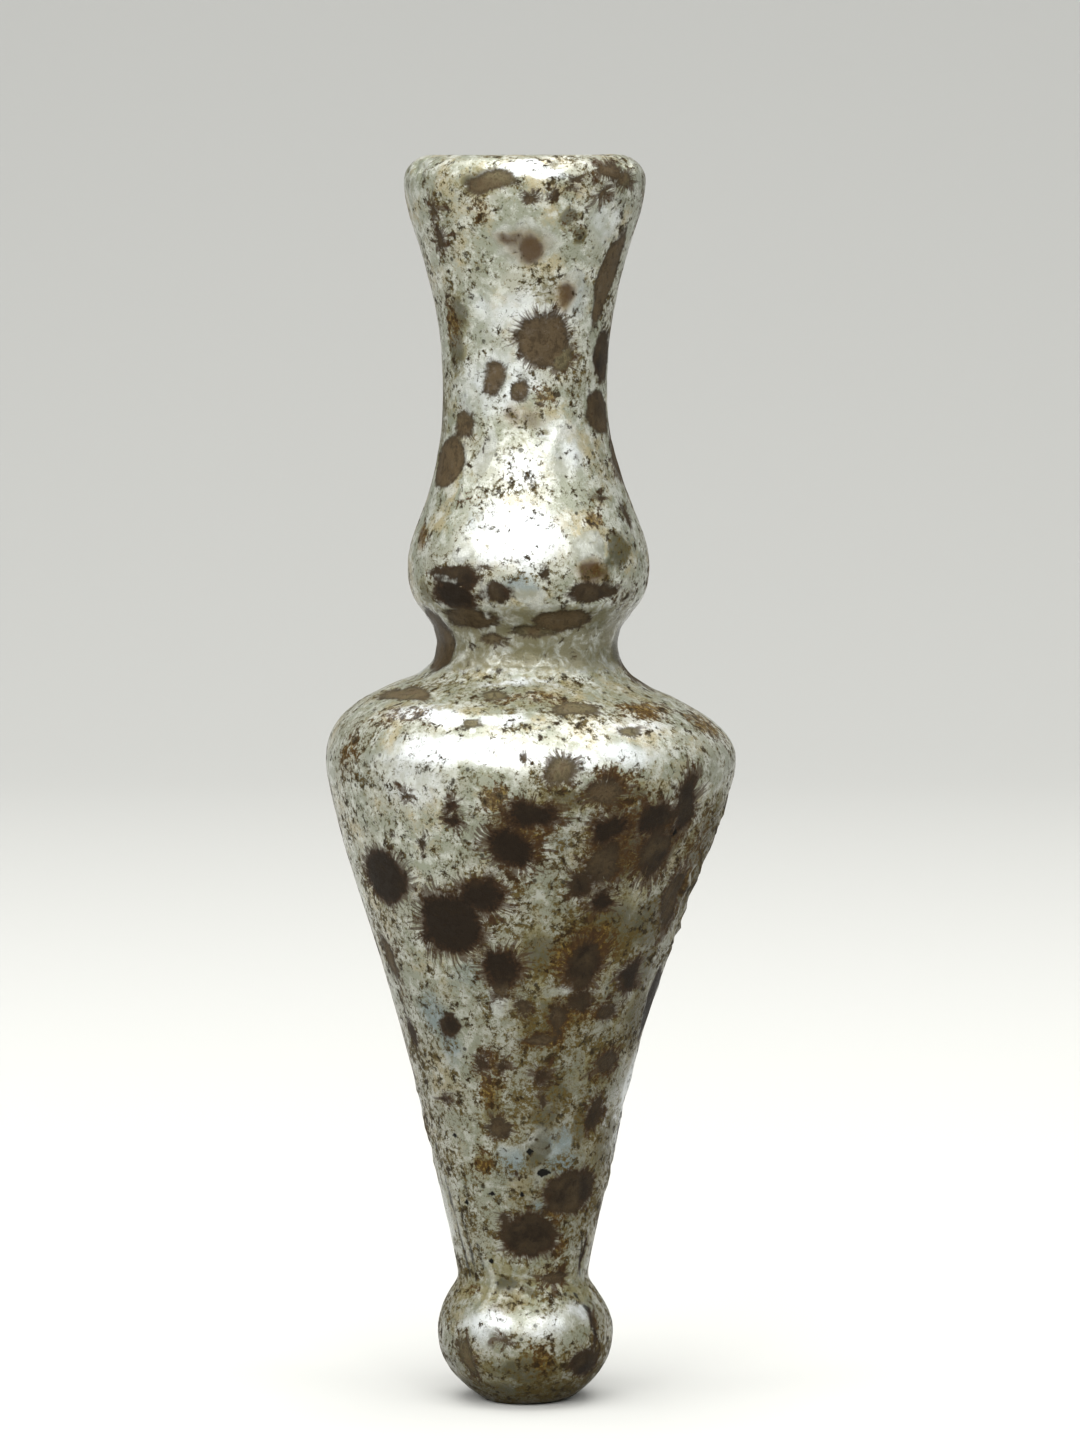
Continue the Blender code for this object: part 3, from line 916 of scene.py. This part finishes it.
# %% Patterns for the weathered glass
weathered = Finish("weathered_glass")
place = weathered.node("ShaderNodeTexCoord", {}, {}).outputs["Object"]
in_mm = weathered.node(
    "ShaderNodeVectorMath", {"operation": "SCALE"}, {0: place, "Scale": 1.0 / MM}
).outputs[0]
rays_at = weathered.node(
    "ShaderNodeAttribute", {"attribute_name": "stain_rays"}, {}
).outputs["Vector"]


def cloud(per_mm, detail, roughness=0.6, warp=0.0, at=None, shift=0.0):
    """Noise with so many blots in a millimetre. shift moves it, so that two clouds differ."""
    spot = at or in_mm
    if shift:
        moved_by = {0: spot, 1: (shift, 2.0 * shift, -shift)}
        spot = weathered.node("ShaderNodeVectorMath", {"operation": "ADD"}, moved_by).outputs[0]
    values = {
        "Vector": spot,
        "Scale": per_mm,
        "Detail": detail,
        "Roughness": roughness,
        "Distortion": warp,
    }
    return weathered.number("ShaderNodeTexNoise", {}, values)


slow_cloud = cloud(0.11, 3.0)
mid_cloud = cloud(0.42, 5.0, shift=17.0)
blots = cloud(0.95, 7.0, 0.68, 0.4, shift=40.0)
grain = cloud(2.2, 6.0, 0.7, shift=71.0)
dust = cloud(6.5, 3.0, 0.6, shift=93.0)
veins = cloud(0.7, 6.0, 0.65, 0.8, shift=215.0)
loops = cloud(0.8, 4.0, 0.6, 1.2, shift=300.0)
rays = cloud(1.0, 2.0, 0.7, at=rays_at)

# %% [markdown]
# The masks come next. A mask is 1 where its mark shows and 0 elsewhere. The hard-edged ones take
# the stored depth, in mm, and let the rays and the grain push its edge in and out. The soft ones
# add the stored share to a noise, so that a crowd of blots thickens towards its middle.

# %% Masks of the large marks
outside_share = weathered.stored("outside")
pane = (weathered.stored("pane") + (mid_cloud - 0.5) * 1.3 + (grain - 0.5) * 0.2).rise(0.3, 0.6)
clear_of_pane = 1.0 - pane * 0.9
ridge = 1.0 - (weathered.stored("ridge_gap") + (blots - 0.5) * 1.2).rise(0.0, 0.5)
ridge *= (grain * 0.5 + mid_cloud * 0.5).rise(0.38, 0.56)
fold = 1.0 - (weathered.stored("fold_gap") + (blots - 0.5) * 1.2).rise(0.05, 0.3)
hair = weathered.stored("stain_hair")
lumpy = weathered.stored("stain_depth") + (blots - 0.5) * 1.3
seam = weathered.stored("stain_seam") * 3.0 - 0.1 + (grain - 0.5) * 0.8
stain_edge = (lumpy + (grain - 0.5) * 0.9 + (rays - 0.5) * hair * 1.2).least(seam)
stain = stain_edge.rise(-0.15, 0.4)
worn = (cloud(1.1, 5.0, 0.7, shift=260.0) + (grain - 0.5) * 0.5).rise(0.48, 0.66)
hairs = (lumpy + hair * 1.3 + (rays - 0.5) * hair * 8.0).least(seam + 0.1).rise(0.0, 0.9)
halo = (lumpy + 0.9 + (blots - 0.5) * 4.0).rise(0.0, 0.9) * (0.4 + hair * 0.6)
pit = (weathered.stored("pit_depth") + (grain - 0.5) * 0.5).rise(-0.05, 0.12)
film_share = weathered.stored("film")
film = (veins + film_share * 0.42 + (grain - 0.5) * 0.25).rise(0.56, 0.8)
rust_share = weathered.stored("rust")
rust = (blots + rust_share * 0.2 + (mid_cloud - 0.5) * 0.3).rise(0.58, 0.68)
# Painted highlight: the mask of the whitened patches where the lights gleam.
painted_highlight = (weathered.stored("painted_highlight") + (mid_cloud - 0.5) * 1.2 + (grain - 0.5) * 0.4).rise(0.1, 0.9)
amber = (weathered.stored("amber") + (mid_cloud - 0.5) * 0.8 + (blots - 0.5) * 0.4).rise(0.05, 1.0)
olive = (weathered.stored("olive") + (mid_cloud - 0.5) * 1.2 + (blots - 0.5) * 0.4).rise(0.1, 0.7)
opal = (weathered.stored("opal") + (mid_cloud - 0.5) * 1.1 + (blots - 0.5) * 0.5).rise(0.1, 1.1)

# %% [markdown]
# The fine marks follow. Specks come in crowds, each over a wider fringe of ochre, curls are the
# thin lines where a noise passes its middle value, and round dots sit in some of the cells of a
# cell pattern.

# %% Masks of the fine marks
crowd = (mid_cloud - 0.5) * 0.6 + (slow_cloud - 0.5) * 0.5 + film_share * 0.04
crowd += (rust_share + halo) * 0.05 + weathered.stored("veil_and_shade") * 0.1
# Under the painted highlights, fewer specks, stipple, curls and dots are drawn.
speckled = blots * 0.45 + grain * 0.55 + crowd * 0.5 - painted_highlight * 0.06
fringe = speckled.rise(0.5, 0.6) * clear_of_pane
specks = speckled.rise(0.55, 0.59) * clear_of_pane
stipple = (grain * 0.6 + dust * 0.4 + crowd * 0.35 - painted_highlight * 0.06).rise(0.52, 0.57)
stipple *= clear_of_pane
rust_stipple = (grain + rust_share * 0.12 + (mid_cloud - 0.5) * 0.2).rise(0.56, 0.63)
curls = 1.0 - loops.distance_from(0.5).rise(0.004, 0.016)
curls *= (blots + crowd - painted_highlight * 0.1).rise(0.5, 0.56) * clear_of_pane

dot_cells = weathered.node("ShaderNodeTexVoronoi", {}, {"Vector": in_mm, "Scale": 0.7})
dot_distance = Varying(weathered, dot_cells.outputs["Distance"]) + (grain - 0.5) * 0.35
dot_chosen = weathered.number(
    "ShaderNodeSeparateColor", {}, {"Color": dot_cells.outputs["Color"]}
).rise(0.55, 0.6)
dots = (1.0 - dot_distance.rise(0.1, 0.22)) * dot_chosen * clear_of_pane * (1.0 - painted_highlight)

# %% [markdown]
# The colours are laid on in the order in which time did it: the silvery skin, the smooth panes
# and glows in it, then the brown films, the specks, the rust, the stains and the pits.

# %% Colours
SILVER = linear(140, 140, 126)
GREENISH = linear(119, 122, 106)
CREAM = linear(152, 138, 103)
CHALK = linear(172, 174, 165)
# The colour of the painted highlights.
HIGHLIGHT_WHITE = linear(187, 191, 193)
PANE_GREY = linear(108, 109, 97)
PANE_PEARL = linear(148, 150, 143)
# This brown also paints the shade low down and on the knob.
VEIL_AND_SHADE_BROWN = linear(60, 56, 36)
FILM_PALE = linear(98, 92, 62)
FILM_DARK = linear(52, 48, 30)
OLIVE_GLASS = linear(50, 47, 28)
OPAL_BLUE = linear(85, 99, 103)
AMBER_DEEP = linear(50, 30, 2)
AMBER_PALE = linear(88, 68, 32)
SPECK_OLIVE = linear(64, 60, 32)
SPECK_DARK = linear(30, 24, 11)
SPECK_BROWN = linear(66, 54, 24)
OCHRE = linear(98, 80, 34)
RUST_BROWN = linear(56, 38, 12)
RUST_DARK = linear(31, 21, 5)
STAIN_DARK = linear(22, 15, 7)
STAIN_BROWN = linear(66, 55, 38)
STAIN_OLIVE = linear(88, 82, 60)
STAIN_EDGE = linear(18, 11, 4)
HAIR_BROWN = linear(46, 30, 14)
PIT_BLACK = linear(12, 11, 8)
INSIDE_DUST = linear(84, 78, 64)


def silvery_skin():
    """The pale layers, greener, creamier or chalkier from place to place, browned by the veil with its
    painted shade low down, and whitened under the painted highlights.
    """
    colour = weathered.mix(slow_cloud.rise(0.42, 0.6), GREENISH, SILVER)
    creamy = (cloud(0.2, 4.0, shift=130.0) + (grain - 0.5) * 0.4).rise(0.5, 0.66)
    # Less cream under the painted highlights.
    colour = weathered.mix(creamy * (0.6 - painted_highlight * 0.5), colour, CREAM)
    chalky = (cloud(0.6, 6.0, shift=160.0) + (dust - 0.5) * 0.3).rise(0.46, 0.62)
    colour = weathered.mix(chalky * 0.75, colour, CHALK)
    # The veil's brown: patina, and painted shade low down.
    colour = weathered.mix(weathered.stored("veil_and_shade") * 0.75, colour, VEIL_AND_SHADE_BROWN)
    # Painted highlight: the skin is whiter where the lights gleam.
    return weathered.mix(painted_highlight * 0.75, colour, HIGHLIGHT_WHITE)


def panes_and_glows(colour):
    """The smooth places, where whole layers came off."""
    pearl = weathered.mix(mid_cloud.rise(0.4, 0.6), PANE_GREY, PANE_PEARL)
    # The panes show less under the painted highlights.
    colour = weathered.mix(pane * (0.75 - painted_highlight * 0.5), colour, pearl)
    colour = weathered.mix(opal * 0.75, colour, OPAL_BLUE)
    film_colour = weathered.mix(film_share.rise(0.3, 0.9), FILM_PALE, FILM_DARK)
    colour = weathered.mix(film * 0.85, colour, film_colour)
    colour = weathered.mix(olive * 0.85, colour, OLIVE_GLASS)
    glow = weathered.mix((amber + (mid_cloud - 0.5)).rise(0.4, 1.0), AMBER_PALE, AMBER_DEEP)
    return weathered.mix(amber * 0.92, colour, glow)


def specks_and_rust(colour):
    """The fine brown stipple and the crowds of rust."""
    fringe_colour = weathered.mix(mid_cloud.rise(0.42, 0.58), OCHRE, SPECK_OLIVE)
    colour = weathered.mix(fringe * 0.5, colour, fringe_colour)
    colour = weathered.mix(stipple * 0.62, colour, SPECK_OLIVE)
    speck_colour = weathered.mix(blots.rise(0.5, 0.62), SPECK_BROWN, SPECK_DARK)
    colour = weathered.mix(specks.most(curls) * 0.88, colour, speck_colour)
    colour = weathered.mix(dots * 0.85, colour, SPECK_DARK)
    rust_colour = weathered.mix(grain.rise(0.38, 0.54), OCHRE, RUST_BROWN)
    rust_colour = weathered.mix(blots.rise(0.5, 0.62), rust_colour, RUST_DARK)
    shown = rust.most(rust_stipple * rust_share.rise(0.05, 0.4))
    return weathered.mix(shown * 0.9, colour, rust_colour)


def stains_and_pits(colour):
    """The dark stains with their hairy edges, and the pits."""
    tone = weathered.stored("stain_tone") + (mid_cloud - 0.5) * 1.6 + (blots - 0.5) * 1.4
    tone += (grain - 0.5) * 0.8
    stain_colour = weathered.mix(tone.rise(0.0, 1.1), STAIN_DARK, STAIN_BROWN)
    stain_colour = weathered.mix(tone.rise(1.1, 2.0), stain_colour, STAIN_OLIVE)
    mottled = (blots * 0.6 + grain * 0.4).rise(0.47, 0.6) * 0.55
    rim_of_stain = 1.0 - (stain_edge + (grain - 0.5) * 1.8).rise(0.1, 0.9)
    rim_colour = weathered.mix(tone.rise(0.1, 0.7), HAIR_BROWN, STAIN_EDGE)
    stain_colour = weathered.mix(mottled, stain_colour, STAIN_EDGE)
    stain_colour = weathered.mix(rim_of_stain * 0.6, stain_colour, rim_colour)
    colour = weathered.mix(hairs * 0.8, colour, HAIR_BROWN)
    cover = 0.97 - worn * tone.rise(0.2, 1.2) * 0.4
    colour = weathered.mix(stain * cover, colour, stain_colour)
    colour = weathered.mix(fold * 0.85, colour, STAIN_EDGE)
    colour = weathered.mix(ridge * 0.55, colour, CHALK)
    return weathered.mix(pit, colour, PIT_BLACK)


outer_colour = stains_and_pits(specks_and_rust(panes_and_glows(silvery_skin())))
inner_colour = weathered.mix(mid_cloud.rise(0.35, 0.65), INSIDE_DUST, SPECK_DARK)
skin_colour = weathered.mix(outside_share, inner_colour, outer_colour)
print("nodes so far:", len(weathered.tree.nodes))

# %% [markdown]
# Gloss tells the layers apart as much as colour does. The silvery skin has a pearly, half
# metallic sheen, the panes are as bright as new glass, and stains, rust and dust are dull. The
# bump carries what is too small for the mesh.

# %% Gloss and bump
METAL_SHEEN = 0.38
CLEAR_COAT = 0.46
COAT_ROUGHNESS = 0.22
SPECULAR = 0.08
BUMP_STRENGTH = 0.6
BUMP_DEPTH = 0.12

brown = stain.most(hairs * 0.6).most(rust).most(specks).most(dots).most(amber).most(pit)
brown = brown.most(stipple * 0.6)
rough_skin = 0.4 + (mid_cloud - 0.5) * 0.35 + (grain - 0.5) * 0.35
roughness = rough_skin + brown * 0.2 - pane * 0.16 + (1.0 - outside_share) * 0.3
silvered = (1.0 - brown) * (1.0 - film * 0.6)
metallic = silvered * outside_share * METAL_SHEEN
sunk_by = stain * 0.5 + specks * 0.35 + rust * 0.3 + dots * 0.4 + pit + film * 0.15
sunk_by += fold - ridge * 0.8
unevenness = (grain + blots - 1.0) * clear_of_pane * 0.7 + (dust - 0.5) * 0.25
bump = weathered.node(
    "ShaderNodeBump",
    {},
    {"Strength": BUMP_STRENGTH, "Distance": BUMP_DEPTH * MM, "Height": unevenness - sunk_by},
).outputs["Normal"]
coat = silvered * outside_share * CLEAR_COAT

weathered.feed(weathered.shader.inputs["Base Color"], skin_colour)
weathered.feed(weathered.shader.inputs["Roughness"], roughness)
weathered.feed(weathered.shader.inputs["Metallic"], metallic)
weathered.feed(weathered.shader.inputs["Normal"], bump)
weathered.feed(weathered.shader.inputs["Coat Weight"], coat)
weathered.shader.inputs["Coat Roughness"].default_value = COAT_ROUGHNESS
weathered.shader.inputs["Specular IOR Level"].default_value = SPECULAR
bottle.data.materials.clear()
bottle.data.materials.append(weathered.material)
print("nodes in the finish:", len(weathered.tree.nodes))

# %% [markdown]
# The dressed bottle takes the solid's place. It moves with the part's one body.

# %% Put the bottle in place of its solid
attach(bottle, "root")
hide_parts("bottle")

# %% [markdown]
# The bottle stands on a plain pale floor that curves up behind it, so that no edge shows. An edge
# is extruded back along the floor, round a quarter circle of radius BEND, and up the wall.

# %% Floor and backdrop
FLOOR_HALF = 3.0
FLOOR_FRONT = -2.5
WALL_AT = 1.6
WALL_TOP = 2.6
BEND = 0.9
BEND_STEPS = 24


def sweep_backdrop():
    """A strip that runs flat, bends up and stands, made by extruding its front edge."""
    shape = bmesh.new()
    left = shape.verts.new((-FLOOR_HALF, FLOOR_FRONT, 0.0))
    right = shape.verts.new((FLOOR_HALF, FLOOR_FRONT, 0.0))
    edge = shape.edges.new((left, right))
    stops = [(WALL_AT - BEND, 0.0)]
    for step in range(1, BEND_STEPS + 1):
        angle = math.radians(90.0 * step / BEND_STEPS)
        stops.append((WALL_AT - BEND + BEND * math.sin(angle), BEND - BEND * math.cos(angle)))
    stops.append((WALL_AT, WALL_TOP))
    for y, z in stops:
        grown = bmesh.ops.extrude_edge_only(shape, edges=[edge])["geom"]
        edge = next(part for part in grown if isinstance(part, bmesh.types.BMEdge))
        for corner in edge.verts:
            corner.co.y = y
            corner.co.z = z
    bmesh.ops.recalc_face_normals(shape, faces=shape.faces)
    mesh = bpy.data.meshes.new("backdrop")
    shape.to_mesh(mesh)
    shape.free()
    mesh.shade_smooth()
    made = bpy.data.objects.new("backdrop", mesh)
    bpy.context.scene.collection.objects.link(made)
    return made


paper = Finish("pale_paper")
paper.shader.inputs["Base Color"].default_value = linear(170, 170, 166)
paper.shader.inputs["Roughness"].default_value = 0.9
backdrop = sweep_backdrop()
backdrop.data.materials.append(paper.material)
backdrop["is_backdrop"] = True
print("backdrop faces:", len(backdrop.data.polygons))

# %% [markdown]
# Three wide soft lights stand side by side on an arc in front of the bottle and above it, the
# middle one the strongest. Together they give the broad white gleams on the rim, the bulge, the
# shoulder and the knob. A wide light overhead whitens what looks up, which is the slope, the top
# of the shoulder and the top of the knob, and keeps the backdrop pale.

# %% Lights
BOTTLE_MIDDLE = Vector((0.0, 0.0, 0.08))
ARC_RADIUS = 0.95
ARC_RISE = math.radians(31.0)
PANEL_SIZE = (0.95, 0.46)
TOP_LIGHT_AT = (0.0, 0.0, 1.2)
TOP_LIGHT_SIZE = (1.4, 1.2)
SURROUND_COLOUR = (0.93, 0.96, 1.0, 1.0)
SURROUND_STRENGTH = 0.12


def soft_light(name, place, aim, size, watts):
    """A rectangular light at a place, facing its aim."""
    lamp = bpy.data.lights.new(name, "AREA")
    lamp.shape = "RECTANGLE"
    lamp.size = size[0]
    lamp.size_y = size[1]
    lamp.energy = watts
    light = bpy.data.objects.new(name, lamp)
    light.location = place
    light.rotation_euler = (Vector(aim) - Vector(place)).to_track_quat("-Z", "Y").to_euler()
    bpy.context.scene.collection.objects.link(light)


def light_on_arc(name, bearing_degrees, watts):
    """A soft light on the arc. Its bearing is 0 in front and grows to the right."""
    turned = math.radians(bearing_degrees)
    away = Vector((math.sin(turned), -math.cos(turned), math.tan(ARC_RISE))).normalized()
    soft_light(name, BOTTLE_MIDDLE + away * ARC_RADIUS, BOTTLE_MIDDLE, PANEL_SIZE, watts)


light_on_arc("left", -56.0, 6.2)
light_on_arc("middle", -5.0, 12.0)
light_on_arc("right", 46.0, 4.5)
soft_light("top", TOP_LIGHT_AT, (0.0, 0.0, 0.0), TOP_LIGHT_SIZE, 34.0)
world = bpy.data.worlds.new("surround")
world.use_nodes = True
surround = world.node_tree.nodes["Background"]
surround.inputs["Color"].default_value = SURROUND_COLOUR
surround.inputs["Strength"].default_value = SURROUND_STRENGTH
bpy.context.scene.world = world
bpy.context.scene.view_settings.view_transform = "Standard"
print("lights:", len(bpy.data.lights))

# %% [markdown]
# Last, the dressed bottle is measured against the solid's box, and how much it has grown is printed.

# %% Measure and finish
seen_low, seen_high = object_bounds()
grown = [round((b - a) / MM, 2) for a, b in zip(cad_high - cad_low, seen_high - seen_low)]
print("grown by, in mm:", grown)
